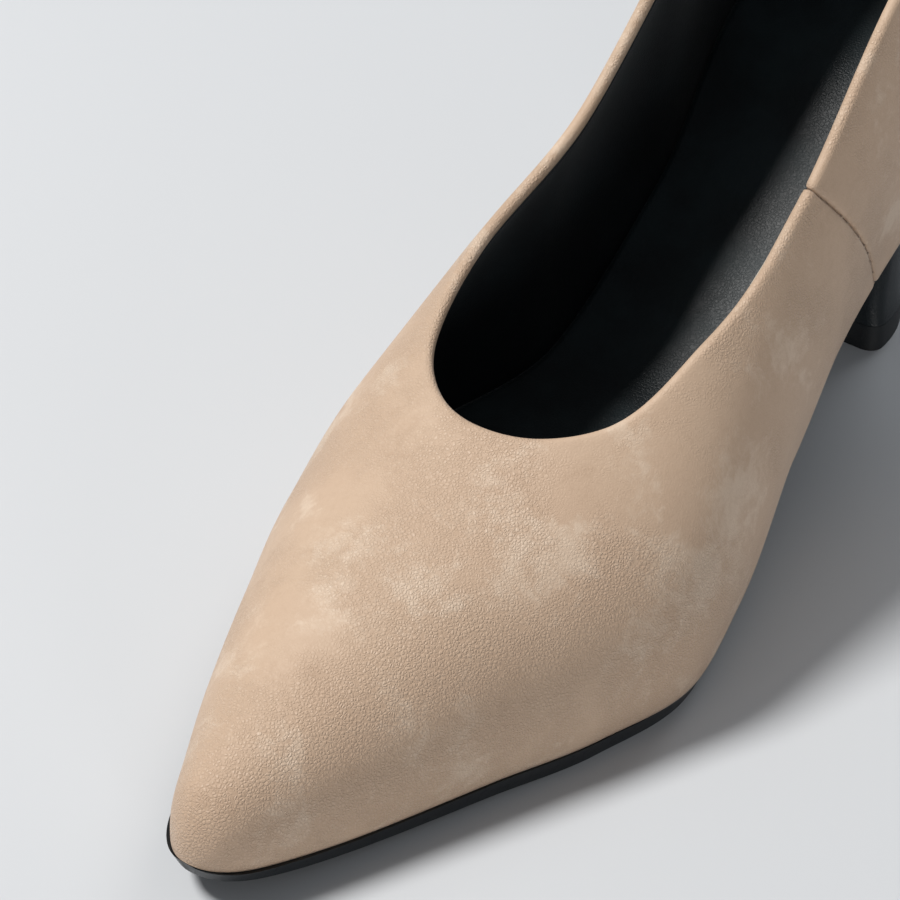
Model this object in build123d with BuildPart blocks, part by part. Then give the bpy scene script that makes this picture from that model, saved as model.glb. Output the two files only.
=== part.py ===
"""A pointed high-heel pump for the left foot, in millimetres.

The shoe stands on the floor at Z = 0 with its toe towards -Y, its heel towards +Y
and its outer side towards +X. Places along the shoe are given as the distance s
from the toe tip, and one family of arched sections, the last, shapes every layer:
a layer is the space between two insets of the same arch.
"""
import os
from math import cos, radians, sin, sqrt

from build123d import *

os.makedirs("parts", exist_ok=True)

# ---------------------------------------------------------------- driving sizes
CENTRE_X = 1.5          # middle of the shoe's width, from the last's centre line
CENTRE_S = 117.25       # middle of the shoe's length, from the toe tip
TURN = 208.0            # where the sides end and the back of the heel turns
BACK_REACH = 26.0       # from there to the back of the heel seat
SEAT_RISE = 0.22        # slope of the heel seat behind the turn
THROAT = 74.4           # front of the foot opening
MARGIN = 12.0           # lasting margin turned in under the insole

# The last, by stations along the shoe.
STATIONS = (0, 4, 12, 25, 45, 65, 85, 105, 130, 160, 190, 208)
OUTER_REACH = (0, 7.1, 11.4, 17, 25.1, 33.3, 38.5, 35.5, 28.5, 25.2, 27.6, 28)
INNER_REACH = (0, 6, 10.4, 16.6, 24.8, 32.3, 35.9, 32.5, 23.5, 22.1, 26.5, 27)
OUTER_SWELL = (0, 0.6, 0.8, 1.2, 2, 3, 4, 4.7, 7.1, 5.7, 3, 2.5)
INNER_SWELL = (0, 0.3, 0.6, 1.4, 2, 2.5, 3, 3.7, 5.5, 4.7, 3, 2.5)
HEIGHT = (0, 11.8, 16.7, 22.2, 29.6, 36, 47, 62, 79, 94.5, 100, 100)
RIDGE = (0, -0.2, -0.4, -0.5, -1, -1.9, -3.6, -4.1, -2.9, -1, 0, 0)
FLOOR = (8, 7.2, 6.1, 5, 4.5, 3.8, 3.6, 5.6, 12.5, 33.7, 57, 66)
SHOULDER = 0.51         # height of the arch's first handle, as a share of the height
CROWN = 0.71            # reach of its second handle, as a share of the reach
BULGE = 1.6             # how far the first handle stands out, for each mm of swell
BACK_SWELL = 3.0

# How high the topline stands on the arch (0 feather line, 1 ridge), from throat to back.
OUTER_TOPLINE = ((0, 1), (0.15, 0.858), (0.3, 0.734), (0.45, 0.639), (0.6, 0.549), (0.8, 0.497), (1, 0.46))
INNER_TOPLINE = ((0, 1), (0.15, 0.853), (0.3, 0.721), (0.45, 0.621), (0.6, 0.547), (0.8, 0.477), (1, 0.46))

# Layers of the upper, as insets from the outside.
LEATHER = (0, 1.1)
STIFFENER = (1.2, 1.75)
LINING = (1.85, 2.6)
# Layers of the bottom, as heights above the upper's underside.
PACKING = (0.05, 2.65)
BOARD = (2.75, 4.85)
PAD = (4.9, 6.2)
SOCK = (6.25, 7.05)
SOLE_TOP = -0.1
SEAT_SOLE = 2.2         # outsole's thickness under the heel seat
TREAD = (62, 90)        # where the outsole lies flat on the floor
TAPE_DEPTH = 0.05       # topline tape's depth, as a share of the arch
MOUTH_SPLIT = 116.0     # the opening is cut from above before here, from the side behind

LATERAL = 0             # direction of each side, as an angle about the heel's axis
MEDIAL = 180
BACK = 90


def through(points):
    """A smooth curve through the points that doesn't overshoot between them."""
    xs, ys = zip(*points)
    rises = [(ys[i + 1] - ys[i]) / (xs[i + 1] - xs[i]) for i in range(len(xs) - 1)]
    slopes = [rises[0]]
    for before, after in zip(rises, rises[1:]):
        slopes.append(2 * before * after / (before + after) if before * after > 0 else 0)
    slopes.append(rises[-1])

    def value(x):
        x = min(max(x, xs[0]), xs[-1])
        i = max(k for k in range(len(xs) - 1) if xs[k] <= x)
        width = xs[i + 1] - xs[i]
        t = (x - xs[i]) / width
        start = (1 + 2 * t) * (1 - t) ** 2 * ys[i] + t * (1 - t) ** 2 * width * slopes[i]
        end = t * t * (3 - 2 * t) * ys[i + 1] - t * t * (1 - t) * width * slopes[i + 1]
        return start + end

    return value


def along(values):
    """A size along the shoe: sizes grow with the root of s near the pointed toe."""
    curve = through([(sqrt(s), v) for s, v in zip(STATIONS, values)])
    return lambda s: curve(sqrt(max(s, 0)))


reach = {LATERAL: along(OUTER_REACH), MEDIAL: along(INNER_REACH)}
swell = {LATERAL: along(OUTER_SWELL), MEDIAL: along(INNER_SWELL)}
topline = {LATERAL: through(OUTER_TOPLINE), MEDIAL: through(INNER_TOPLINE)}
height = along(HEIGHT)
ridge = along(RIDGE)
floor_front = along(FLOOR)


def floor(s):
    """Height of the upper's underside."""
    return floor_front(s) + SEAT_RISE * max(s - TURN, 0)


def place(s):
    """Y of a place along the shoe."""
    return s - CENTRE_S


def side_of(angle):
    return LATERAL if angle <= BACK else MEDIAL


def section_plane(s, angle):
    """Upright plane through the shoe's axis at s: local X points outwards, local Y up."""
    out = (cos(radians(angle)), sin(radians(angle)))
    return Plane(origin=(-CENTRE_X, place(s), 0), x_dir=(*out, 0), z_dir=(out[1], -out[0], 0))


def half_arch(s, angle, inset):
    """Bezier points of one half of a section, from the feather line up to the ridge."""
    side = side_of(angle)
    lean = SEAT_RISE * sin(radians(angle))
    share = sin(radians(angle)) ** 2
    wide = 1 / sqrt((1 - share) / reach[side](s) ** 2 + share / BACK_REACH**2) - inset
    bulge = BULGE * (swell[side](s) * (1 - share) + BACK_SWELL * share)
    peak = ridge(s) * cos(radians(angle))
    tall = height(s) - 2 * inset
    low = floor(s) + inset
    ends = (wide, low), (peak, low + tall)
    handles = (wide + bulge, low + SHOULDER * tall), (CROWN * wide, low + tall)
    flat = [ends[0], *handles, ends[1]]
    return [(u, v + lean * u) for u, v in flat]


def mix(a, b, t):
    return (a[0] + (b[0] - a[0]) * t, a[1] + (b[1] - a[1]) * t)


def part_of(points, t):
    """Bezier points of the first part of a curve, up to t."""
    first = [mix(a, b, t) for a, b in zip(points, points[1:])]
    second = [mix(a, b, t) for a, b in zip(first, first[1:])]
    return [points[0], first[0], second[0], mix(*second, t)]


def rest_of(points, t):
    return part_of(points[::-1], 1 - t)[::-1]


def edge(s, angle):
    """Where the topline stands on the arch at s."""
    return topline[side_of(angle)](sqrt(max(s - THROAT, 0) / (TURN - THROAT)))


def rim(s, angle):
    """Outward distance and height of the topline at s."""
    return part_of(half_arch(s, angle, 0), edge(s, angle))[-1]


# ---------------------------------------------------------------- sections and cutters
def wall(s, angle, layer, drop=0):
    """One slice of a side wall, with its margin turned in below."""
    outside, inside = layer
    skin = part_of(half_arch(s, angle, outside), edge(s, angle) - drop)
    back = part_of(half_arch(s, angle, inside), edge(s, angle) - drop)
    shift = skin[0][0] + outside - MARGIN
    lean = SEAT_RISE * sin(radians(angle))
    with BuildSketch(section_plane(s, angle)) as slice_:
        with BuildLine():
            Bezier(*skin)
            Line(skin[-1], back[-1])
            Bezier(*back[::-1])
            Polyline(
                back[0],
                (shift, floor(s) + inside + lean * shift),
                (shift, floor(s) + outside + lean * shift),
                skin[0],
            )
        make_face()
    return slice_.sketch


def band(s, angle, layer, low, high):
    """One slice of a tape that lies between two heights on the arch."""
    skin, back = [rest_of(part_of(half_arch(s, angle, d), high), low / high) for d in layer]
    with BuildSketch(section_plane(s, angle)) as slice_:
        with BuildLine():
            Bezier(*skin)
            Line(skin[-1], back[-1])
            Bezier(*back[::-1])
            Line(back[0], skin[0])
        make_face()
    return slice_.sketch


def dome(s, inset):
    """One whole arched section."""
    with BuildSketch(section_plane(s, LATERAL)) as slice_:
        with BuildLine():
            outer = Bezier(*half_arch(s, LATERAL, inset))
            inner = Bezier(*[(-u, v) for u, v in half_arch(s, MEDIAL, inset)])
            Line(outer @ 0, inner @ 0)
        make_face()
    return slice_.sketch


def nose(inset):
    """How far back the front of a layer lies."""
    return 0.15 + 1.35 * inset


def vault(layer):
    """A whole layer of the upper from the toe back to VAMP_END, open only at that end."""
    for inset, mode in zip(layer, (Mode.ADD, Mode.SUBTRACT)):
        start = nose(inset)
        stations = [2.4, 5, 8.5, 13, 20, 30, 42, 55, 68, 80, 92, 104, 116, 128, 140, 152, 164, 176, VAMP_END]
        loft([dome(s, inset) for s in [start] + [s for s in stations if s > start * 1.3 + 1]], mode=mode)


def keep(first, last):
    """Keep only a stretch of the shoe's length."""
    with BuildSketch(Plane.XY.offset(-5)) as stretch:
        with Locations((0, place((first + last) / 2))):
            Rectangle(120, last - first)
    extrude(stretch.sketch, amount=160, mode=Mode.INTERSECT)


def straight_and_round(first, last):
    """Slices of a wall as (s, angle) from the outer side at first round to the inner side at last.

    A place that isn't on a side is an angle on the back instead.
    """
    steps = range(128, 205, 6)
    outer = [(s, LATERAL) for s in steps if first is not None and s > first + 3]
    inner = [(s, MEDIAL) for s in reversed(steps) if last is not None and s > last + 3]
    turns = range(0 if first is not None else BACK, (MEDIAL if last is not None else BACK) + 1, 15)
    slices = [(TURN, angle) for angle in turns]
    ends = ([(first, LATERAL)] if first is not None else [], [(last, MEDIAL)] if last is not None else [])
    return ends[0] + outer + slices + inner + ends[1]


def mouth():
    """Cut the foot opening: from above round the throat, and from each side behind it."""
    roots = [0.57, 0.5, 0.42, 0.34, 0.26, 0.18, 0.1]
    front = [THROAT + r * r * (TURN - THROAT) for r in roots]
    outer = [(rim(s, LATERAL)[0], s) for s in front]
    inner = [(-rim(s, MEDIAL)[0], s) for s in reversed(front)]
    line = [(x - CENTRE_X, place(s)) for x, s in outer + [(ridge(THROAT), THROAT)] + inner]
    with BuildSketch(Plane.XY) as throat:
        with BuildLine():
            lip = Spline(*line)
            Line(lip @ 1, lip @ 0)
        make_face()
        with Locations((0, place(MOUTH_SPLIT) + 40)):
            Rectangle(120, 80, mode=Mode.SUBTRACT)
    extrude(throat.sketch, amount=160, mode=Mode.SUBTRACT)
    for angle, way in ((LATERAL, 1), (MEDIAL, -1)):
        heights = [(place(s), rim(s, angle)[1]) for s in (MOUTH_SPLIT, 124, 134, 146, 160, 174, 190)]
        with BuildSketch(Plane.YZ) as above:
            with BuildLine():
                lip = Spline(*heights)
                Polyline(lip @ 1, (heights[-1][0], 170), (heights[0][0], 170), lip @ 0)
            make_face()
        extrude(above.sketch, amount=way * 80, mode=Mode.SUBTRACT)


def outline(inset):
    """Plan of a bottom layer."""
    front = nose(inset)
    stations = [s for s in (2.4, 6, 12, 20, 30, 45, 65, 85, 105, 130, 160, 190) if s > front + 1.6]
    stations = [front + 0.9] + stations + [TURN]
    outer = [(reach[LATERAL](s) - inset, s) for s in stations]
    inner = [(inset - reach[MEDIAL](s), s) for s in reversed(stations)]
    turns = [(half_arch(TURN, a, inset)[0][0], radians(a)) for a in range(20, 180, 20)]
    back = [(wide * cos(a), TURN + wide * sin(a)) for wide, a in turns]
    points = [(0, front)] + outer + back + inner
    with BuildSketch(Plane.XY.offset(-5)) as plan:
        with BuildLine():
            Spline(*[(x - CENTRE_X, place(s)) for x, s in points], periodic=True)
        make_face()
    return plan.sketch


PROFILE_MARKS = 6, 12, 20, 30, 45, 65, 85, 105, 118, 130, 145, 160, 175, 190, 200, 212


def profile(low, high, first, last):
    """Side view of a bottom layer, between two heights above the upper's underside."""
    marks = [first, *(s for s in PROFILE_MARKS if first + 2 < s < last - 2), last]
    with BuildSketch(Plane.YZ.offset(-60)) as side:
        with BuildLine():
            top = Spline(*[(place(s), floor(s) + high) for s in marks])
            base = Spline(*[(place(s), floor(s) + low) for s in marks])
            Line(top @ 0, base @ 0)
            Line(top @ 1, base @ 1)
        make_face()
    return side.sketch


def slab(layer, inset, first=-3, last=240):
    """A bottom layer: its plan, cut to its side view."""
    extrude(outline(inset), amount=100)
    extrude(profile(*layer, first, last), amount=120, mode=Mode.INTERSECT)


def seat_plane(x, s, lift):
    """Plane square to the insole at a place on it."""
    rise = (floor(s + 1) - floor(s - 1)) / 2
    return Plane(origin=(x - CENTRE_X, place(s), floor(s) + lift), x_dir=(1, 0, 0), z_dir=(0, -rise, 1))


def bore(plane, radius, depth, mode=Mode.SUBTRACT):
    """Cut a round hole down from a plane, or add a round rod there."""
    with BuildSketch(plane) as ring:
        Circle(radius)
    extrude(ring.sketch, amount=-depth, mode=mode)


def heel_slice(level, front, half, back, shrink=0):
    """Level slice of the heel: flat breast, rounded corners and a curved back."""
    front, half, back = place(front + shrink), half - shrink, place(back - shrink)
    corner = front + HEEL_CORNER
    deep = back - corner
    with BuildSketch(Plane((-CENTRE_X, 0, level))) as slice_:
        with BuildLine():
            Line((HEEL_CORNER - half, front), (half - HEEL_CORNER, front))
            for way in (1, -1):
                edge_x = way * half
                Bezier((edge_x - way * HEEL_CORNER, front), (edge_x, front), (edge_x, corner))
                Bezier((edge_x, corner), (edge_x, corner + 0.6 * deep), (0.62 * edge_x, back), (0, back))
        make_face()
    return slice_.sketch


def behind(side, gap, ahead=False):
    """Cut away what is behind a side seam, or ahead of it."""
    top, lean, top_height = SEAMS[side]
    ends = [(place(top + (top_height - z) * lean) + gap, z) for z in (120, -10)]
    edge_y = place(-20 if ahead else 260)
    with BuildSketch(Plane.YZ) as beyond:
        with BuildLine():
            Polyline(*ends, (edge_y, -10), (edge_y, 120), close=True)
        make_face()
    extrude(beyond.sketch, amount=80 if side == LATERAL else -80, mode=Mode.SUBTRACT)


# Side seams: s at the topline, how far the seam runs back for each mm down, and its height there.
SEAMS = {LATERAL: (134, 0.93, 70), MEDIAL: (152, 0.8, 88)}
VAMP_END = 184
PUFF_END = 44
INTERLINING_END = 128
OUTER_COUNTER = 168.5
INNER_COUNTER = 190.5
LINING_SPLIT = 150
TAPE_START = 128.2
TAPE_DROP = 0.06        # the stiffeners stop this far below the topline, as a share of the arch
TAPE_GAP = 0.005

# Fasteners through the insole board, as (x, s) from the last's centre line.
NAILS = ((-10, 203), (10, 203), (-6, 218.5), (6, 218.5))
NAIL_RADIUS = 0.9
NAIL_LENGTH = 20
NAIL_HEAD = 0.7
SCREW_S = 213
SCREW_RADIUS = 2
SCREW_LENGTH = 30
SCREW_HEAD = 1.5
RIVETS = (128, 190)
RIVET_RADIUS = 1.6
SHANK = (0.6, 2.2)
SHANK_SPAN = (119, 198)
SHANK_WIDTH = 9

# Outsole: its thickness ahead of the tread and behind it.
WELT = 0.6
TOE_SPRING = ((-3, 2.6), (6, 2.7), (20, 3), (40, 3.5))
WAIST = ((104, 4.2), (118, 3.6), (135, 3.1), (160, 2.7), (185, 2.3), (212, 2.3), (240, 2.3))

# Heel: level, front, half width and back of each slice.
HEEL = (
    (5.6, 195, 16.1, 219.6),
    (12, 195.3, 15, 217.6),
    (24, 195, 14.7, 216.8),
    (38, 193.4, 17, 219.4),
    (50, 191.2, 22.6, 224.6),
    (58, 189.3, 26, 229.4),
    (66, 188, 27.5, 233),
    (78, 187.5, 27.8, 234),
)
TOP_PIECE = ((0, 194.8, 16.5, 220.2), (5.5, 195, 16.1, 219.6))
HEEL_CORNER = 4
WRAP = 0.8
TUBE = (6, 44)
TUBE_RADIUS = 2.6
PIN = (2.5, 22)
PIN_RADIUS = 1.5
PIN_S = 206

# ---------------------------------------------------------------- upper
with BuildPart() as window:
    slab((-1, 6), MARGIN, last=226)

with BuildPart() as vamp:
    vault(LEATHER)
    mouth()
    add(window.part, mode=Mode.SUBTRACT)
    behind(LATERAL, -0.05)
    behind(MEDIAL, -0.05)

with BuildPart() as quarter_lateral:
    loft([wall(s, angle, LEATHER) for s, angle in straight_and_round(122, None)])
    behind(LATERAL, 0.05, ahead=True)

with BuildPart() as quarter_medial:
    loft([wall(s, angle, LEATHER) for s, angle in straight_and_round(None, 140)])
    behind(MEDIAL, 0.05, ahead=True)

with BuildPart() as toe_puff:
    vault(STIFFENER)
    add(window.part, mode=Mode.SUBTRACT)
    keep(-5, PUFF_END)

with BuildPart() as vamp_interlining:
    vault(STIFFENER)
    keep(PUFF_END + 0.1, INTERLINING_END)
    add(window.part, mode=Mode.SUBTRACT)
    mouth()

with BuildPart() as seam_stay_lateral:
    stations = (INTERLINING_END + 0.2, 134, 140, 146, 152, 158, 163, OUTER_COUNTER - 0.2)
    loft([wall(s, LATERAL, STIFFENER, TAPE_DROP) for s in stations])

with BuildPart() as seam_stay_medial:
    stations = (INTERLINING_END + 0.2, 134, 140, 146, 152, 158, 164, 170, 176, 183, INNER_COUNTER - 0.2)
    loft([wall(s, MEDIAL, STIFFENER, TAPE_DROP) for s in stations])

with BuildPart() as heel_counter:
    places = straight_and_round(OUTER_COUNTER, INNER_COUNTER)
    loft([wall(s, angle, STIFFENER, TAPE_DROP) for s, angle in places])

with BuildPart() as topline_tape:
    places = straight_and_round(TAPE_START, TAPE_START)
    loft([band(s, a, STIFFENER, edge(s, a) - TAPE_DEPTH, edge(s, a) - TAPE_GAP) for s, a in places])

with BuildPart() as vamp_lining:
    vault(LINING)
    mouth()
    add(window.part, mode=Mode.SUBTRACT)
    keep(-5, LINING_SPLIT - 0.1)

with BuildPart() as quarter_lining:
    places = straight_and_round(LINING_SPLIT + 0.1, LINING_SPLIT + 0.1)
    loft([wall(s, angle, LINING) for s, angle in places])

# ---------------------------------------------------------------- bottom
heel_fasteners = [(*nail, NAIL_RADIUS, NAIL_HEAD) for nail in NAILS]
heel_fasteners.append((0, SCREW_S, SCREW_RADIUS, SCREW_HEAD))
with BuildPart() as fastener_holes:
    for x, s, radius, head in heel_fasteners:
        bore(seat_plane(x, s, BOARD[1] + 3), radius + 0.05, 45, Mode.ADD)
        bore(seat_plane(x, s, BOARD[1] + 3), 2 * radius + 0.1, head + 3.1, Mode.ADD)
    for s in RIVETS:
        bore(seat_plane(0, s, BOARD[1] + 3), RIVET_RADIUS + 0.05, 12, Mode.ADD)

with BuildPart() as insole_board:
    slab(BOARD, 3.05, first=5.5)
    add(fastener_holes.part, mode=Mode.SUBTRACT)

with BuildPart() as steel_shank:
    slab(SHANK, MARGIN, *SHANK_SPAN)
    with BuildSketch(Plane.XY.offset(-5)) as strip:
        with Locations((-CENTRE_X, place(sum(SHANK_SPAN) / 2))):
            SlotOverall(SHANK_SPAN[1] - SHANK_SPAN[0], SHANK_WIDTH, rotation=90)
    extrude(strip.sketch, amount=100, mode=Mode.INTERSECT)
    add(fastener_holes.part, mode=Mode.SUBTRACT)

with BuildPart() as shank_board:
    slab(PACKING, MARGIN + 0.3, SHANK_SPAN[0] - 1, 220)
    with BuildSketch(Plane.XY.offset(-5)) as slot:
        with Locations((-CENTRE_X, place(sum(SHANK_SPAN) / 2))):
            Rectangle(SHANK_WIDTH + 0.4, SHANK_SPAN[1] - SHANK_SPAN[0] + 0.8)
        with Locations((-CENTRE_X, place(SHANK_SPAN[0] - 1))):
            Rectangle(SHANK_WIDTH + 0.4, 4)
    extrude(slot.sketch, amount=100, mode=Mode.SUBTRACT)
    add(fastener_holes.part, mode=Mode.SUBTRACT)

with BuildPart() as bottom_filler:
    slab(PACKING, MARGIN + 0.3, last=SHANK_SPAN[0] - 1.2)

with BuildPart() as sock_pad:
    slab(PAD, 3.6, first=14)

with BuildPart() as sock_lining:
    slab(SOCK, 3.4, first=12)

with BuildPart() as outsole:
    extrude(outline(-WELT), amount=100)
    with BuildSketch(Plane.YZ.offset(-60)) as side:
        with BuildLine():
            marks = [-3, 6, 12, 20, 30, 45, 65, 85, 105, 118, 130, 145, 160, 175, 190, 200, 212, 240]
            top = Spline(*[(place(s), floor(s) + SOLE_TOP) for s in marks])
            toe = [(place(s), floor(s) - thick) for s, thick in TOE_SPRING]
            toe = Spline(*toe, (place(TREAD[0]), 0), tangents=((1, -0.2), (1, 0)), tangent_scalars=(1, 1))
            tread = Line(toe @ 1, (place(TREAD[1]), 0))
            waist = [(place(s), floor(s) - thick) for s, thick in WAIST]
            waist = Spline(tread @ 1, *waist, tangents=((1, 0), (1, SEAT_RISE)))
            Line(top @ 0, toe @ 0)
            Line(top @ 1, waist @ 1)
        make_face()
    extrude(side.sketch, amount=120, mode=Mode.INTERSECT)
    add(fastener_holes.part, mode=Mode.SUBTRACT)

# ---------------------------------------------------------------- heel
with BuildPart() as heel_room:
    slab((-90, SOLE_TOP - SEAT_SOLE - 0.1), -3, 150, 240)

with BuildPart() as heel_wrap:
    loft([heel_slice(*level) for level in HEEL])
    add(heel_room.part, mode=Mode.INTERSECT)
    loft([heel_slice(*level, shrink=WRAP) for level in HEEL], mode=Mode.SUBTRACT)

with BuildPart() as heel_core:
    loft([heel_slice(*level, shrink=WRAP + 0.05) for level in HEEL])
    add(heel_room.part, mode=Mode.INTERSECT)
    bore(Plane((-CENTRE_X, place(PIN_S), TUBE[1])), TUBE_RADIUS + 0.05, 60)
    add(fastener_holes.part, mode=Mode.SUBTRACT)

with BuildPart() as heel_tube:
    with BuildSketch(Plane((-CENTRE_X, place(PIN_S), TUBE[0]))):
        Circle(TUBE_RADIUS)
        Circle(PIN_RADIUS + 0.05, mode=Mode.SUBTRACT)
    extrude(amount=TUBE[1] - TUBE[0])

with BuildPart() as top_piece:
    loft([heel_slice(*level) for level in TOP_PIECE])
    bore(Plane((-CENTRE_X, place(PIN_S), 10)), PIN_RADIUS + 0.05, 10 - PIN[0])

with BuildPart() as top_piece_pin:
    with BuildSketch(Plane((-CENTRE_X, place(PIN_S), PIN[0]))):
        Circle(PIN_RADIUS)
    extrude(amount=PIN[1] - PIN[0])
    chamfer(faces().sort_by(Axis.Z)[-1].edges(), 0.5)

with BuildPart() as heel_screw:
    bore(seat_plane(0, SCREW_S, BOARD[1]), SCREW_RADIUS, SCREW_LENGTH, Mode.ADD)
    bore(seat_plane(0, SCREW_S, BOARD[1]), 2 * SCREW_RADIUS, SCREW_HEAD, Mode.ADD)

with BuildPart() as heel_nails:
    for x, s in NAILS:
        bore(seat_plane(x, s, BOARD[1]), NAIL_RADIUS, NAIL_LENGTH, Mode.ADD)
        bore(seat_plane(x, s, BOARD[1]), 2 * NAIL_RADIUS, NAIL_HEAD, Mode.ADD)

with BuildPart() as shank_rivets:
    for s in RIVETS:
        bore(seat_plane(0, s, BOARD[1]), RIVET_RADIUS, BOARD[1] - SHANK[0], Mode.ADD)

# ---------------------------------------------------------------- files
pieces = {
    "vamp": vamp,
    "quarter_lateral": quarter_lateral,
    "quarter_medial": quarter_medial,
    "toe_puff": toe_puff,
    "vamp_interlining": vamp_interlining,
    "seam_stay_lateral": seam_stay_lateral,
    "seam_stay_medial": seam_stay_medial,
    "heel_counter": heel_counter,
    "topline_tape": topline_tape,
    "vamp_lining": vamp_lining,
    "quarter_lining": quarter_lining,
    "insole_board": insole_board,
    "steel_shank": steel_shank,
    "shank_board": shank_board,
    "shank_rivets": shank_rivets,
    "bottom_filler": bottom_filler,
    "sock_pad": sock_pad,
    "sock_lining": sock_lining,
    "outsole": outsole,
    "heel_core": heel_core,
    "heel_wrap": heel_wrap,
    "heel_tube": heel_tube,
    "top_piece": top_piece,
    "top_piece_pin": top_piece_pin,
    "heel_screw": heel_screw,
    "heel_nails": heel_nails,
}
for name, piece in pieces.items():
    piece.part.label = name
    export_step(piece.part, f"parts/{name}.step")
    print(name, round(piece.part.volume))
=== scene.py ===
# %% [markdown]
# A pointed court shoe for the left foot, dressed in Blender around its CAD frame.
# The CAD model holds every layer of the shoe at its real size: upper, stiffeners,
# lining, insole, shank, sole and heel. Here the layers that can be seen are made
# again as soft leather, and the hard ones get their real finish.

from math import cos, pi, radians, sin, sqrt

import bmesh
import bpy
from mathutils import Matrix, Vector


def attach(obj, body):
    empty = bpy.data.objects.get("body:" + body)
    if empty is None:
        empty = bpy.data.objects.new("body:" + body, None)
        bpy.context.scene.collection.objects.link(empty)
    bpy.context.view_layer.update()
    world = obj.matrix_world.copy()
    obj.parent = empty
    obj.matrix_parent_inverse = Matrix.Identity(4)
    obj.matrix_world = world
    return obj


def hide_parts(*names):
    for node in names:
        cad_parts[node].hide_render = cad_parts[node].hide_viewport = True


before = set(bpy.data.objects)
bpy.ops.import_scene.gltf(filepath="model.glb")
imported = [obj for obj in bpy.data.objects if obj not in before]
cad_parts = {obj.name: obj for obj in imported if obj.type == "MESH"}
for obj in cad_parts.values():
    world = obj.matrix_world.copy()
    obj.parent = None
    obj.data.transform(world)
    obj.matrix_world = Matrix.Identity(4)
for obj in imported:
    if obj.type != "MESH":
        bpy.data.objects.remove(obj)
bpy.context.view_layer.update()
MM = 0.001

# %% [markdown]
# Everything on a shoe follows its last, the foot-shaped form that it is built on.
# Each section across the last is an arch of two Bezier curves that rise from the
# feather line, where the upper meets the sole, to the ridge. A few stations from toe
# to heel say how wide and tall the arch is. This is the same last that shaped the CAD
# layers, so the leather made from it lies exactly where they do.

# %% The last
CENTRE_X = 1.5          # the shoe's axis, and the place along it, of the frame's origin
CENTRE_S = 117.25
TURN = 208              # where the sections start to turn about the heel
BACK_REACH = 26
SEAT_RISE = 0.22
THROAT = 74.4           # from the toe tip to the front of the mouth
STATIONS = (0, 4, 12, 25, 45, 65, 85, 105, 130, 160, 190, 208)
REACH = {
    1: (0, 7.1, 11.4, 17, 25.1, 33.3, 38.5, 35.5, 28.5, 25.2, 27.6, 28),
    -1: (0, 6, 10.4, 16.6, 24.8, 32.3, 35.9, 32.5, 23.5, 22.1, 26.5, 27),
}
SWELL = {
    1: (0, 0.6, 0.8, 1.2, 2, 3, 4, 4.7, 7.1, 5.7, 3, 2.5),
    -1: (0, 0.3, 0.6, 1.4, 2, 2.5, 3, 3.7, 5.5, 4.7, 3, 2.5),
}
HEIGHT = (0, 11.8, 16.7, 22.2, 29.6, 36, 47, 62, 79, 94.5, 100, 100)
RIDGE = (0, -0.2, -0.4, -0.5, -1, -1.9, -3.6, -4.1, -2.9, -1, 0, 0)
FLOOR = (8, 7.2, 6.1, 5, 4.5, 3.8, 3.6, 5.6, 12.5, 33.7, 57, 66)
TOPLINE = {
    1: ((0, 1), (0.15, 0.858), (0.3, 0.734), (0.45, 0.639), (0.6, 0.549), (0.8, 0.497), (1, 0.46)),
    -1: ((0, 1), (0.15, 0.853), (0.3, 0.721), (0.45, 0.621), (0.6, 0.547), (0.8, 0.477), (1, 0.46)),
}
SHOULDER = 0.51         # handles of an arch's curve, as shares of its height and width
CROWN = 0.71
BULGE = 1.6
BACK_SWELL = 3
BALL = 85


def through(points):
    """A smooth curve through the points that doesn't overshoot between them."""
    xs, ys = zip(*points)
    rises = [(ys[i + 1] - ys[i]) / (xs[i + 1] - xs[i]) for i in range(len(xs) - 1)]
    slopes = [rises[0]]
    for before, after in zip(rises, rises[1:]):
        slopes.append(2 * before * after / (before + after) if before * after > 0 else 0)
    slopes.append(rises[-1])

    def value(x):
        x = min(max(x, xs[0]), xs[-1])
        i = max(k for k in range(len(xs) - 1) if xs[k] <= x)
        width = xs[i + 1] - xs[i]
        t = (x - xs[i]) / width
        start = (1 + 2 * t) * (1 - t) ** 2 * ys[i] + t * (1 - t) ** 2 * width * slopes[i]
        end = t * t * (3 - 2 * t) * ys[i + 1] - t * t * (1 - t) * width * slopes[i + 1]
        return start + end

    return value


def along(values):
    """A size along the shoe: sizes grow with the root of s near the pointed toe."""
    curve = through([(sqrt(s), v) for s, v in zip(STATIONS, values)])
    return lambda s: curve(sqrt(max(s, 0)))


reach = {side: along(values) for side, values in REACH.items()}
swell = {side: along(values) for side, values in SWELL.items()}
topline = {side: through(points) for side, points in TOPLINE.items()}
height = along(HEIGHT)
ridge = along(RIDGE)
floor_front = along(FLOOR)


def floor(s):
    return floor_front(s) + SEAT_RISE * max(s - TURN, 0)


def feather(side, s, turn):
    """How far the feather line is from the shoe's axis; turn is 0 on the side and 90 at the back."""
    share = sin(radians(turn)) ** 2
    return 1 / sqrt((1 - share) / max(reach[side](s), 1e-6) ** 2 + share / BACK_REACH**2)


def place(side, s, turn, out, up):
    """A point in metres from its distance out of the shoe's axis and its height."""
    x = side * out * cos(radians(turn)) - CENTRE_X
    y = s + out * sin(radians(turn)) - CENTRE_S
    lean = SEAT_RISE * out * sin(radians(turn))
    return Vector((x, y, up + lean)) * MM


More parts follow.
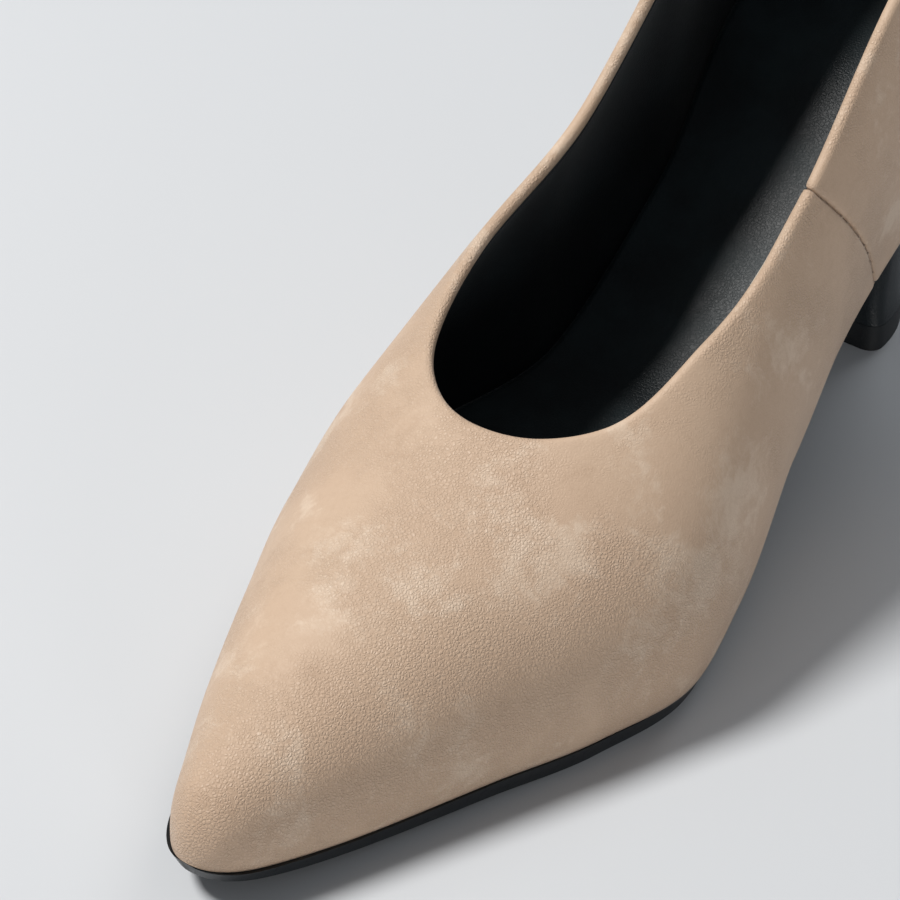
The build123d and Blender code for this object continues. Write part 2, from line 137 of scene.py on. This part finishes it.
def on_last(side, s, turn, t, inset=0):
    """A point on the last, t of the way up the arch from the feather line to the ridge."""
    share = sin(radians(turn)) ** 2
    wide = feather(side, s, turn) - inset
    bulge = BULGE * (swell[side](s) * (1 - share) + BACK_SWELL * share)
    tall = height(s) - 2 * inset
    weights = ((1 - t) ** 3, 3 * (1 - t) ** 2 * t, 3 * (1 - t) * t * t, t**3)
    outs = (wide, wide + bulge, CROWN * wide, side * ridge(s) * cos(radians(turn)))
    ups = (0, SHOULDER * tall, tall, tall)
    out = sum(w * u for w, u in zip(weights, outs))
    up = sum(w * v for w, v in zip(weights, ups))
    return place(side, s, turn, out, floor(s) + inset + up)


def topline_at(side, s):
    return topline[side](sqrt(max(s - THROAT, 0) / (TURN - THROAT)))


print("last:", round(2 * feather(1, BALL, 0), 1), "mm twice the outer reach at the ball")

# %% [markdown]
# The upper is one skin in the making, so its leather runs smoothly under the seams.
# It starts as a flat grid, made by one operator. The grid's long way runs from the toe
# tip to the back seam and its short way from one feather line over the ridge to the
# other. Behind the throat the middle line of edges is split, which opens the mouth for
# the foot, and then each point is laid on the last. The back seam closes by merging.

# %% The skin on the last
FRONT_ROWS = 0.30       # share of the grid's rows ahead of the throat
SIDE_ROWS = 0.82        # share ahead of the turn of the heel
COLUMNS = 104
ROWS = 240
EDGE = 0.9999           # a grid point further out than this lies on the grid's rim
WELD = 2e-5             # points closer than this, in metres, are one
TIP_START = 0.02        # first section behind the toe tip, and how an inset moves it back
TIP_SETBACK = 1.3
MOUTH_EASE = 8          # length over which a shortened topline drops away from the throat


def station(w):
    """Place along the shoe and turn about the heel for a share w of the grid's rows."""
    if w <= FRONT_ROWS:
        return THROAT * (w / FRONT_ROWS) ** 2, 0
    if w <= SIDE_ROWS:
        return THROAT + (TURN - THROAT) * ((w - FRONT_ROWS) / (SIDE_ROWS - FRONT_ROWS)) ** 2, 0
    return TURN, 90 * (w - SIDE_ROWS) / (1 - SIDE_ROWS)


def side_of(vert):
    """Outer side 1 or inner side -1, from the faces about a point."""
    return 1 if sum(face.calc_center_median().x for face in vert.link_faces) >= 0 else -1


def skin(inset=0, short=0, columns=COLUMNS, rows=ROWS):
    """A sheet on the last from the feather lines up to the topline, less a short share of it."""
    bm = bmesh.new()
    bmesh.ops.create_grid(bm, x_segments=columns, y_segments=rows, size=1)
    throat = 2 * FRONT_ROWS - 1 - (1 - EDGE)
    middle = [e for e in bm.edges if all(abs(v.co.x) < 1e-5 and v.co.y > throat for v in e.verts)]
    bmesh.ops.split_edges(bm, edges=middle)
    spots = []
    for vert in bm.verts:
        side = side_of(vert)
        s, turn = station((vert.co.y + 1) / 2)
        mouth = min(1, max(0, (s - THROAT) / MOUTH_EASE))
        t = (topline_at(side, s) - short * mouth) * (1 - abs(vert.co.x))
        spots.append(on_last(side, max(s, TIP_START + TIP_SETBACK * inset), turn, t, inset))
    for vert, spot in zip(bm.verts, spots):
        at_tip = vert.co.y < -EDGE
        vert.co = spot
        if at_tip:
            vert.co.x = -CENTRE_X * MM
    bmesh.ops.remove_doubles(bm, verts=bm.verts, dist=WELD)
    bmesh.ops.recalc_face_normals(bm, faces=bm.faces)
    if sum(face.normal.z * face.calc_area() for face in bm.faces if face.calc_center_median().y < 0) < 0:
        bmesh.ops.reverse_faces(bm, faces=bm.faces)
    return bm


def finished(bm, name, material, slot, *replaced, smooth=True):
    """Make a mesh object of a bmesh with its material, and hide the CAD nodes it stands for; slot is not
    used.
    """
    mesh = bpy.data.meshes.new(name)
    for face in bm.faces:
        face.smooth = smooth
    bm.to_mesh(mesh)
    bm.free()
    piece = bpy.data.objects.new(name, mesh)
    bpy.context.scene.collection.objects.link(piece)
    mesh.materials.append(material)
    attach(piece, "root")
    if replaced:
        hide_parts(*replaced)
    print(name, "has", len(mesh.polygons), "faces")
    return piece


def add_wall(piece, thickness):
    """Give a sheet its thickness, inwards from its outer face."""
    wall = piece.modifiers.new("thickness", "SOLIDIFY")
    wall.thickness = thickness
    wall.offset = -1
    wall.use_rim = True


# %% [markdown]
# Shader maths reads best as plain arithmetic. This small class wraps a socket, so that
# `1 - mask * 0.5` adds the Math nodes by itself. Any other node comes from one method,
# which takes the node's type, its settings and the values or links of its sockets.

# %% Shader maths
class Socket:
    """A shader value that can be used in Python arithmetic."""

    def __init__(self, tree, socket):
        self.tree = tree
        self.socket = socket

    def math(self, operation, *values):
        node = self.tree.nodes.new("ShaderNodeMath")
        node.operation = operation
        for slot, value in zip(node.inputs, (self, *values)):
            connect(self.tree, value, slot)
        return Socket(self.tree, node.outputs[0])

    def __add__(self, other):
        return self.math("ADD", other)

    __radd__ = __add__

    def __mul__(self, other):
        return self.math("MULTIPLY", other)

    __rmul__ = __mul__

    def __sub__(self, other):
        return self.math("SUBTRACT", other)

    def __rsub__(self, other):
        return (self * -1).math("ADD", other)

    def between(self, low, high):
        """0 below low, 1 above high and a soft step from one to the other."""
        node = self.tree.nodes.new("ShaderNodeMapRange")
        node.interpolation_type = "SMOOTHSTEP"
        for name, value in (("Value", self), ("From Min", low), ("From Max", high)):
            connect(self.tree, value, node.inputs[name])
        return Socket(self.tree, node.outputs[0])


def connect(tree, value, slot):
    if isinstance(value, Socket):
        tree.links.new(value.socket, slot)
    else:
        slot.default_value = value


class Finish:
    """A material with a Principled shader, whose nodes are added by kind."""

    def __init__(self, name, **constants):
        self.material = bpy.data.materials.new(name)
        self.material.use_nodes = True
        self.tree = self.material.node_tree
        self.shader = self.tree.nodes["Principled BSDF"]
        self.spot = self.node("TexCoord", out="Object")
        for socket, value in constants.items():
            self.shader.inputs[socket.replace("_", " ")].default_value = value

    def node(self, kind, out=0, settings=None, **values):
        node = self.tree.nodes.new("ShaderNode" + kind)
        for key, value in (settings or {}).items():
            setattr(node, key, value)
        for name, value in values.items():
            connect(self.tree, value, node.inputs[name.replace("_", " ")])
        return Socket(self.tree, node.outputs[out])

    def noise(self, scale, detail=3, roughness=0.5, at=None):
        spot = at or self.spot
        return self.node("TexNoise", Vector=spot, Scale=scale, Detail=detail, Roughness=roughness)

    def cells(self, scale, feature="F1", at=None, out="Distance"):
        settings = {"feature": feature}
        return self.node("TexVoronoi", out, settings, Vector=at or self.spot, Scale=scale)

    def warped(self, scale, reach):
        """The object coordinates pushed about by noise, so that patterns lose their regularity."""
        push = self.node("TexNoise", "Color", Vector=self.spot, Scale=scale, Detail=2)
        node = self.tree.nodes.new("ShaderNodeVectorMath")
        node.operation = "MULTIPLY_ADD"
        for slot, value in zip(node.inputs, (push, (reach, reach, reach), self.spot)):
            connect(self.tree, value, slot)
        return Socket(self.tree, node.outputs[0])

    def mix(self, factor, a, b):
        node = self.tree.nodes.new("ShaderNodeMix")
        node.data_type = "RGBA"
        for slot, value in zip((node.inputs[0], node.inputs[6], node.inputs[7]), (factor, a, b)):
            connect(self.tree, value, slot)
        return Socket(self.tree, node.outputs[2])

    def bump(self, height, strength, distance, under=None):
        node = self.tree.nodes.new("ShaderNodeBump")
        for name, value in (("Height", height), ("Strength", strength), ("Distance", distance)):
            connect(self.tree, value, node.inputs[name])
        if under:
            connect(self.tree, under, node.inputs["Normal"])
        return Socket(self.tree, node.outputs[0])

    def set(self, **links):
        for name, value in links.items():
            connect(self.tree, value, self.shader.inputs[name.replace("_", " ")])
        return self.material


def paint(red, green, blue):
    """A linear colour from the 0 to 255 values of a paint chart."""
    return (*[(v / 255) ** 2.2 for v in (red, green, blue)], 1)


# %% [markdown]
# The upper is a soft beige leather with a loose, pebbled grain. Under it the hide is
# cloudy, and pale patches spread by noise are painted highlights. The grain is a cell
# pattern whose creases are pressed in, broken up by noise so that no two pebbles match,
# with finer pores between. The creases get painted shade, a darker colour, and shine less.

# %% Upper leather
BEIGE = paint(196, 170, 146)
WARM_BEIGE = paint(193, 166, 142)
HIGHLIGHT_BEIGE = paint(218, 198, 177)
DEEP_BEIGE = paint(172, 144, 120)


def make_upper_leather():
    leather = Finish("upper_leather", IOR=1.45, Sheen_Weight=0.12, Sheen_Roughness=0.45)
    cloud = leather.noise(26, 4, 0.6)
    sheen_patches = leather.noise(48, 7, 0.74, leather.warped(140, 0.006))
    mottle = leather.noise(760, 3, 0.65)
    loose = leather.noise(34, 3, 0.55, leather.warped(90, 0.006)).between(0.40, 0.58)
    pebble = leather.cells(1750, "DISTANCE_TO_EDGE", leather.warped(900, 0.0004)).between(0.0, 0.32)
    pore = leather.noise(4200, 2, 0.6)
    color = leather.mix(cloud.between(0.34, 0.68), BEIGE, WARM_BEIGE)
    # Painted highlight: pale patches placed by noise, mixed towards the pale beige.
    color = leather.mix(sheen_patches.between(0.50, 0.64) * 0.62, color, HIGHLIGHT_BEIGE)
    color = leather.mix(sheen_patches.between(0.44, 0.30) * 0.4, color, DEEP_BEIGE)
    color = leather.mix(mottle.between(0.40, 0.75) * 0.16, color, DEEP_BEIGE)
    # Painted shade: the grain's creases are mixed towards the deep beige, more so in the loose patches.
    color = leather.mix((1 - pebble) * (0.06 + loose * 0.24), color, DEEP_BEIGE)
    rough = 0.52 + mottle * 0.16 - loose * pebble * 0.14 - sheen_patches.between(0.5, 0.66) * 0.05
    soft = leather.bump(cloud + sheen_patches * 0.25, 0.3, 0.0012)
    grain = leather.bump(pebble * (0.12 + loose * 0.88) + pore * 0.3 + mottle * 0.3, 0.6, 0.00016, soft)
    return leather.set(Base_Color=color, Roughness=rough, Normal=grain)


upper_leather = make_upper_leather()
print("leather:", len(upper_leather.node_tree.nodes), "nodes")

# %% [markdown]
# The lining and the sock are thin dark leather, smoother than the upper, with a close
# pore pattern and a faint cool sheen where light slides along them.

# %% Lining leather
def make_dark_leather(name, dark, light, roughness, grain_size, sheen):
    leather = Finish(name, IOR=1.45, Sheen_Weight=sheen, Sheen_Roughness=0.35)
    cloud = leather.noise(60, 3, 0.55)
    pores = leather.cells(grain_size, "DISTANCE_TO_EDGE").between(0.0, 0.25)
    rubbed = leather.noise(24, 3, 0.6).between(0.45, 0.75)
    color = leather.mix(cloud.between(0.35, 0.7), dark, light)
    rough = roughness + cloud * 0.12 - rubbed * 0.08
    normal = leather.bump(pores + leather.noise(grain_size * 2.4, 2, 0.6) * 0.4, 0.25, 0.00012)
    return leather.set(Base_Color=color, Roughness=rough, Normal=normal)


BLACK, TEAL_BLACK = (0.004, 0.006, 0.008, 1), (0.008, 0.013, 0.016, 1)
DEEP_TEAL, DULL_TEAL = (0.008, 0.014, 0.017, 1), (0.018, 0.032, 0.037, 1)
lining_leather = make_dark_leather("lining_leather", BLACK, TEAL_BLACK, 0.5, 1700, 0.2)
sock_leather = make_dark_leather("sock_leather", DEEP_TEAL, DULL_TEAL, 0.4, 1500, 0.35)

# %% [markdown]
# The heel is wrapped in dark leather pressed smooth, the outsole is a dark resin rubber
# whose edge was inked and waxed by hand, and the top piece is hard polyurethane. All
# three are nearly black, so what tells them apart is how their surfaces break the light.

# %% Heel and sole finishes
def make_sole_rubber():
    rubber = Finish("sole_rubber", IOR=1.5, Coat_Roughness=0.25)
    smear = rubber.noise(90, 4, 0.6)
    scratch = rubber.noise(700, 3, 0.7)
    color = rubber.mix(smear.between(0.4, 0.75), BLACK, (0.010, 0.012, 0.014, 1))
    rough = 0.26 + smear * 0.22 + scratch.between(0.5, 0.8) * 0.15
    normal = rubber.bump(scratch + smear * 0.5, 0.18, 0.00015)
    return rubber.set(Base_Color=color, Roughness=rough, Normal=normal)


def make_top_piece():
    hard = Finish("top_piece_rubber", IOR=1.5)
    grit = hard.noise(1500, 3, 0.7)
    color = hard.mix(grit.between(0.4, 0.8), BLACK, (0.014, 0.014, 0.015, 1))
    return hard.set(Base_Color=color, Roughness=0.45 + grit * 0.2, Normal=hard.bump(grit, 0.25, 0.00015))


heel_cover = make_dark_leather("heel_cover", BLACK, TEAL_BLACK, 0.32, 1900, 0.05)
sole_rubber = make_sole_rubber()
top_piece_rubber = make_top_piece()

# %% [markdown]
# The topline is a folded edge: the leather is skived thin, turned over a tape and
# cemented down inside. A sheet's free edge is rolled by extruding it a little at a
# time round a small half circle, towards the inside of the shoe, and then down.

# %% Rolling a free edge
ROLL = 1.15 * MM
ROLL_STEPS = 7
TURN_DOWN = 3.5 * MM


def rim_edges(bm, wanted):
    return [e for e in bm.edges if e.is_boundary and all(wanted(v) for v in e.verts)]


def roll_in(bm, edges, radius, steps, tail):
    """Roll a sheet's free edge inwards, then turn it down by a tail."""
    bm.normal_update()
    base = {}
    for vert in {v for e in edges for v in e.verts}:
        around = [e for e in edges if vert in e.verts]
        ends = [e.other_vert(vert).co for e in around]
        run = (ends[0] - (ends[1] if len(ends) > 1 else vert.co)).normalized()
        out = vert.normal.copy()
        ahead = out.cross(run).normalized()
        centres = [face.calc_center_median() for face in vert.link_faces]
        inland = sum(centres, Vector()) / len(centres) - vert.co
        base[vert] = (vert.co.copy(), out, ahead if ahead.dot(inland) < 0 else -ahead)
    origin = {vert: vert for vert in base}
    angles = [pi * (k + 1) / steps for k in range(steps)]
    for k, angle in enumerate(angles + [pi]):
        grown = bmesh.ops.extrude_edge_only(bm, edges=edges)["geom"]
        edges = [g for g in grown if isinstance(g, bmesh.types.BMEdge) and g.is_boundary]
        fresh = [g for g in grown if isinstance(g, bmesh.types.BMVert)]
        below = {v: next(e.other_vert(v) for e in v.link_edges if e.other_vert(v) in origin) for v in fresh}
        origin.update({v: origin[old] for v, old in below.items()})
        for vert in fresh:
            spot, out, ahead = base[origin[vert]]
            vert.co = spot + ahead * radius * sin(angle) - out * radius * (1 - cos(angle))
            if k == steps:
                vert.co -= ahead * tail
    return edges


# %% [markdown]
# The skin is cut into the vamp and the two quarters along the side seams, which run
# down and back from the topline, and along the back seam. The leather is pressed in
# along each cut, so two pieces meet in a fine groove, as in a closed seam rubbed flat.

# %% Vamp and quarters
SEAMS = {1: (134, 0.93, 70), -1: (152, 0.8, 88)}    # place along, lean and height of a seam's point
SEAM_LIPS = (-1, 0), (-0.5, 0.1), (0, 0.55), (0.5, 0.1), (1, 0)     # place across and depth
LEATHER = 0.9
WAIST_Y = -0.02         # the side seams lie behind this place
MOUTH_ABOVE = 6 * MM    # a free edge higher than this above the feather line is the topline


def seam_plane(side):
    """A point on the seam's plane and the plane's backward normal."""
    s, lean, up = SEAMS[side]
    return place(side, s, 0, 0, up) , Vector((0, 1, lean)).normalized()


def behind_seam(point, side):
    spot, normal = seam_plane(side)
    return (point - spot).dot(normal) > 0


def on_side(point, side):
    """Whether a point belongs to one side of the shoe, from the waist back."""
    return point.x * side > -CENTRE_X * MM * side and point.y > WAIST_Y


def at_back(point):
    return point.y > (TURN - CENTRE_S) * MM


def press_seam(bm, spot, normal, wanted):
    """Cut lines across a seam, and say how deep each point on them is pressed in."""
    pressed = {}
    for across, depth in SEAM_LIPS:
        faces = [f for f in bm.faces if wanted(f.calc_center_median())]
        geom = faces + list({e for f in faces for e in f.edges}) + list({v for f in faces for v in f.verts})
        middle = spot + normal * across * MM
        cut = bmesh.ops.bisect_plane(bm, geom=geom, plane_co=middle, plane_no=normal, dist=1e-6)["geom_cut"]
        pressed.update({g: depth for g in cut if isinstance(g, bmesh.types.BMVert)})
    return pressed


def cut_upper():
    """The whole skin, rolled at the topline and pressed in along its three seams."""
    bm = skin()
    mouth = rim_edges(bm, lambda v: v.co.z > floor_height(v.co) + MOUTH_ABOVE)
    roll_in(bm, mouth, ROLL, ROLL_STEPS, TURN_DOWN)
    pressed = press_seam(bm, place(1, 0, 0, 0, 0), Vector((1, 0, 0)), at_back)
    for side in (1, -1):
        spot, normal = seam_plane(side)
        pressed.update(press_seam(bm, spot, normal, lambda point: on_side(point, side)))
    bm.normal_update()
    dents = {vert: vert.normal * depth * MM for vert, depth in pressed.items()}
    for vert, dent in dents.items():
        vert.co -= dent
    return bm


def floor_height(point):
    """Height of the feather line at a point's place along the shoe."""
    return floor(point.y / MM + CENTRE_S) * MM


def upper_piece(name, node, keep):
    bm = cut_upper()
    bmesh.ops.delete(bm, geom=[f for f in bm.faces if not keep(f.calc_center_median())], context="FACES")
    piece = finished(bm, name, upper_leather, "upper_leather", node)
    add_wall(piece, LEATHER * MM)
    return piece


def rear(point):
    """1 in the outer quarter, -1 in the inner quarter and 0 in the vamp."""
    side = 1 if point.x > -CENTRE_X * MM else -1
    return side if behind_seam(point, side) else 0


upper_piece("vamp_leather", "vamp", lambda point: rear(point) == 0)
upper_piece("outer_quarter_leather", "quarter_lateral", lambda point: rear(point) == 1)
upper_piece("inner_quarter_leather", "quarter_medial", lambda point: rear(point) == -1)

# %% [markdown]
# The lining is a second skin on the same last, further in. It stops just under the
# rolled edge, where the fold hides its raw edge. The sock lies on the insole.

# %% Lining
LINING_INSET = 2.45
LINING_SHORT = 0.004
LINING_THICK = 0.5 * MM


def make_lining():
    bm = skin(LINING_INSET, LINING_SHORT)
    piece = finished(bm, "lining", lining_leather, "lining_leather", "vamp_lining", "quarter_lining")
    add_wall(piece, LINING_THICK)
    return piece


make_lining()

# %% Sock
SOCK_LIFT = 7.05
SOCK_INSET = 2.9
SOCK_DISH = 0.9         # how far the sock's edge curls up the lining
SOCK_THICK = 0.8 * MM


def plate(lift, inset, columns, rows, dish=0):
    """A sheet over the bottom of the last, lifted and dished; inset is a function of the place."""
    bm = bmesh.new()
    bmesh.ops.create_grid(bm, x_segments=columns, y_segments=rows, size=1)
    spots = []
    for vert in bm.verts:
        side = 1 if vert.co.x >= 0 else -1
        s, turn = station((vert.co.y + 1) / 2)
        s = max(s, TIP_START + TIP_SETBACK * inset(s))
        across = abs(vert.co.x)
        out = (feather(side, s, turn) - inset(s)) * across
        spots.append(place(side, s, turn, out, floor(s) + lift + dish * across**3))
    for vert, spot in zip(bm.verts, spots):
        vert.co = spot
    bmesh.ops.remove_doubles(bm, verts=bm.verts, dist=WELD)
    bmesh.ops.recalc_face_normals(bm, faces=bm.faces)
    if sum(face.normal.z for face in bm.faces) < 0:
        bmesh.ops.reverse_faces(bm, faces=bm.faces)
    return bm


def make_sock():
    bm = plate(SOCK_LIFT, lambda s: SOCK_INSET, 40, 200, dish=SOCK_DISH)
    piece = finished(bm, "sock", sock_leather, "lining_leather", "sock_lining")
    add_wall(piece, SOCK_THICK)
    return piece


make_sock()

# %% [markdown]
# The outsole is a plate under the last. Round the forepart it stands out as a small dark
# lip, and from the ball back it is drawn in under the upper. The plate is extruded down
# to the tread, which is tucked in under the lip.

# %% Outsole
SOLE_INSET = through([(0, -0.8), (20, -0.5), (60, -0.3), (92, 0.5), (112, 1.5), (240, 1.5)])
UNDERCUT = 0.8
TOE_TUCK = 14           # length over which the tread's front edge is drawn back
CRISP = radians(40)     # edges turned by more than this are drawn sharp
SOLE_THICK = through([(0, 2.5), (6, 2.7), (20, 3), (40, 3.5), (62, 3.82), (90, 4.1), (104, 4.2), (118, 3.6),
                      (135, 3.1), (160, 2.7), (185, 2.3), (240, 2.3)])
SOLE_GAP = 0.1


def tucked(point):
    """A point of the sole's top moved in and down to where it lies on the tread side."""
    x = point.x / MM + CENTRE_X
    s = point.y / MM + CENTRE_S
    half = feather(1 if x >= 0 else -1, min(max(s, 0), TURN), 0)
    share = 1 - UNDERCUT / max(half, 1.5 * UNDERCUT)
    low = max(point.z / MM - SOLE_THICK(max(s, 0)) + SOLE_GAP, 0)
    if s > TURN:
        s = TURN + (s - TURN) * share
    s += UNDERCUT * max(0, 1 - s / TOE_TUCK)
    return Vector((x * share - CENTRE_X, s - CENTRE_S, low)) * MM


def make_outsole():
    bm = plate(-SOLE_GAP, SOLE_INSET, 24, 260)
    grown = bmesh.ops.extrude_face_region(bm, geom=list(bm.faces))["geom"]
    for vert in [g for g in grown if isinstance(g, bmesh.types.BMVert)]:
        vert.co = tucked(vert.co)
    bmesh.ops.remove_doubles(bm, verts=bm.verts, dist=WELD)
    bmesh.ops.recalc_face_normals(bm, faces=bm.faces)
    bm.normal_update()
    for edge in bm.edges:
        edge.smooth = len(edge.link_faces) != 2 or edge.calc_face_angle() < CRISP
    return finished(bm, "outsole_rubber", sole_rubber, "sole", "outsole")


make_outsole()

# %% [markdown]
# The heel and its top piece are hard and already have their true shape in the CAD
# model, so those nodes stay and only get their finish. The layers sealed inside the
# shoe get a plain working finish each.

# %% Finishes for the CAD pieces
def dress(material, *nodes):
    for name in nodes:
        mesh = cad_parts[name].data
        mesh.materials.clear()
        mesh.materials.append(material)


def make_fibre(name, light, dark, roughness=0.8):
    fibre = Finish(name)
    speck = fibre.noise(900, 4, 0.7)
    color = fibre.mix(speck.between(0.35, 0.7), light, dark)
    normal = fibre.bump(speck, 0.3, 0.0002)
    return fibre.set(Base_Color=color, Roughness=roughness + speck * 0.1, Normal=normal)


def make_metal(name, light, dark):
    metal = Finish(name, Metallic=1)
    sheen_patches = metal.noise(1400, 3, 0.6)
    return metal.set(Base_Color=metal.mix(sheen_patches, light, dark), Roughness=0.28 + sheen_patches * 0.2)


dress(heel_cover, "heel_wrap")
dress(top_piece_rubber, "top_piece")
dress(make_fibre("stiffener_felt", (0.6, 0.56, 0.48, 1), (0.45, 0.41, 0.34, 1)),
      "toe_puff", "vamp_interlining", "seam_stay_lateral", "seam_stay_medial", "topline_tape")
dress(make_fibre("fibre_board", (0.42, 0.27, 0.15, 1), (0.28, 0.17, 0.09, 1)),
      "insole_board", "shank_board", "heel_counter")
dress(make_fibre("latex_foam", (0.05, 0.05, 0.05, 1), (0.03, 0.03, 0.03, 1)), "sock_pad", "bottom_filler")
dress(make_fibre("heel_plastic", (0.7, 0.7, 0.66, 1), (0.62, 0.62, 0.58, 1), 0.4), "heel_core")
dress(make_metal("steel", (0.6, 0.6, 0.6, 1), (0.45, 0.45, 0.46, 1)),
      "steel_shank", "heel_tube", "top_piece_pin", "heel_nails")
dress(make_metal("blackened_steel", (0.05, 0.05, 0.055, 1), (0.03, 0.03, 0.033, 1)), "heel_screw")
dress(make_metal("brass_plate", (0.75, 0.55, 0.25, 1), (0.6, 0.42, 0.18, 1)), "shank_rivets")

# %% [markdown]
# A pale floor that runs out of sight, a soft key light high on the shoe's inner side, a
# weak one from behind and a low one that opens up the outer wall. The shoe throws one
# soft shadow to its outer side.

# %% Floor, light and camera
FLOOR_HALF = 6
AIM = (0, -0.03, 0.03)


def make_floor():
    bm = bmesh.new()
    bmesh.ops.create_grid(bm, x_segments=2, y_segments=2, size=FLOOR_HALF)
    mesh = bpy.data.meshes.new("studio_floor")
    bm.to_mesh(mesh)
    bm.free()
    floor_piece = bpy.data.objects.new("studio_floor", mesh)
    bpy.context.scene.collection.objects.link(floor_piece)
    paper = Finish("studio_paper", Roughness=0.9)
    shade = paper.noise(3, 2, 0.5)
    color = paper.mix(shade, (0.583, 0.600, 0.625, 1), (0.602, 0.619, 0.643, 1))
    mesh.materials.append(paper.set(Base_Color=color))


def add_area(name, spot, aim, size, power, color):
    light = bpy.data.lights.new(name, "AREA")
    light.shape = "DISK"
    light.size = size
    light.energy = power
    light.color = color
    lamp = bpy.data.objects.new(name, light)
    lamp.location = spot
    lamp.rotation_euler = (Vector(aim) - Vector(spot)).to_track_quat("-Z", "Y").to_euler()
    bpy.context.scene.collection.objects.link(lamp)


make_floor()
add_area("key", (-0.9, -0.57, 1.6), AIM, 0.5, 39.5, (1, 0.985, 0.96))
add_area("back", (-0.1, 1.0, 0.9), (0, 0, 0.04), 0.6, 3.5, (0.95, 0.98, 1))
add_area("side fill", (1.05, -0.7, 0.22), (0.02, -0.05, 0.03), 0.4, 3.2, (1, 0.97, 0.94))
world = bpy.data.worlds.new("studio")
world.use_nodes = True
world.node_tree.nodes["Background"].inputs["Color"].default_value = (0.86, 0.9, 0.95, 1)
world.node_tree.nodes["Background"].inputs["Strength"].default_value = 0.17
bpy.context.scene.world = world
bpy.context.scene.view_settings.view_transform = "Standard"

EYE = Vector((166 - CENTRE_X, -200.9 - CENTRE_S, 292)) * MM
YAW, PITCH, ROLL_ANGLE = radians(-32), radians(38.1), radians(4.7)
look = Vector((sin(YAW) * cos(PITCH), cos(YAW) * cos(PITCH), -sin(PITCH)))
right = Vector((cos(YAW), -sin(YAW), 0))
up = right.cross(look)
right, up = cos(ROLL_ANGLE) * right + sin(ROLL_ANGLE) * up, cos(ROLL_ANGLE) * up - sin(ROLL_ANGLE) * right
lens = bpy.data.cameras.new("studio_camera")
lens.lens = 101.7
lens.sensor_width = 36
lens.shift_x = 0.001
lens.shift_y = 0.002
camera = bpy.data.objects.new("studio_camera", lens)
camera.matrix_world = Matrix.Translation(EYE) @ Matrix((right, up, -look)).transposed().to_4x4()
bpy.context.scene.collection.objects.link(camera)
bpy.context.scene.camera = camera
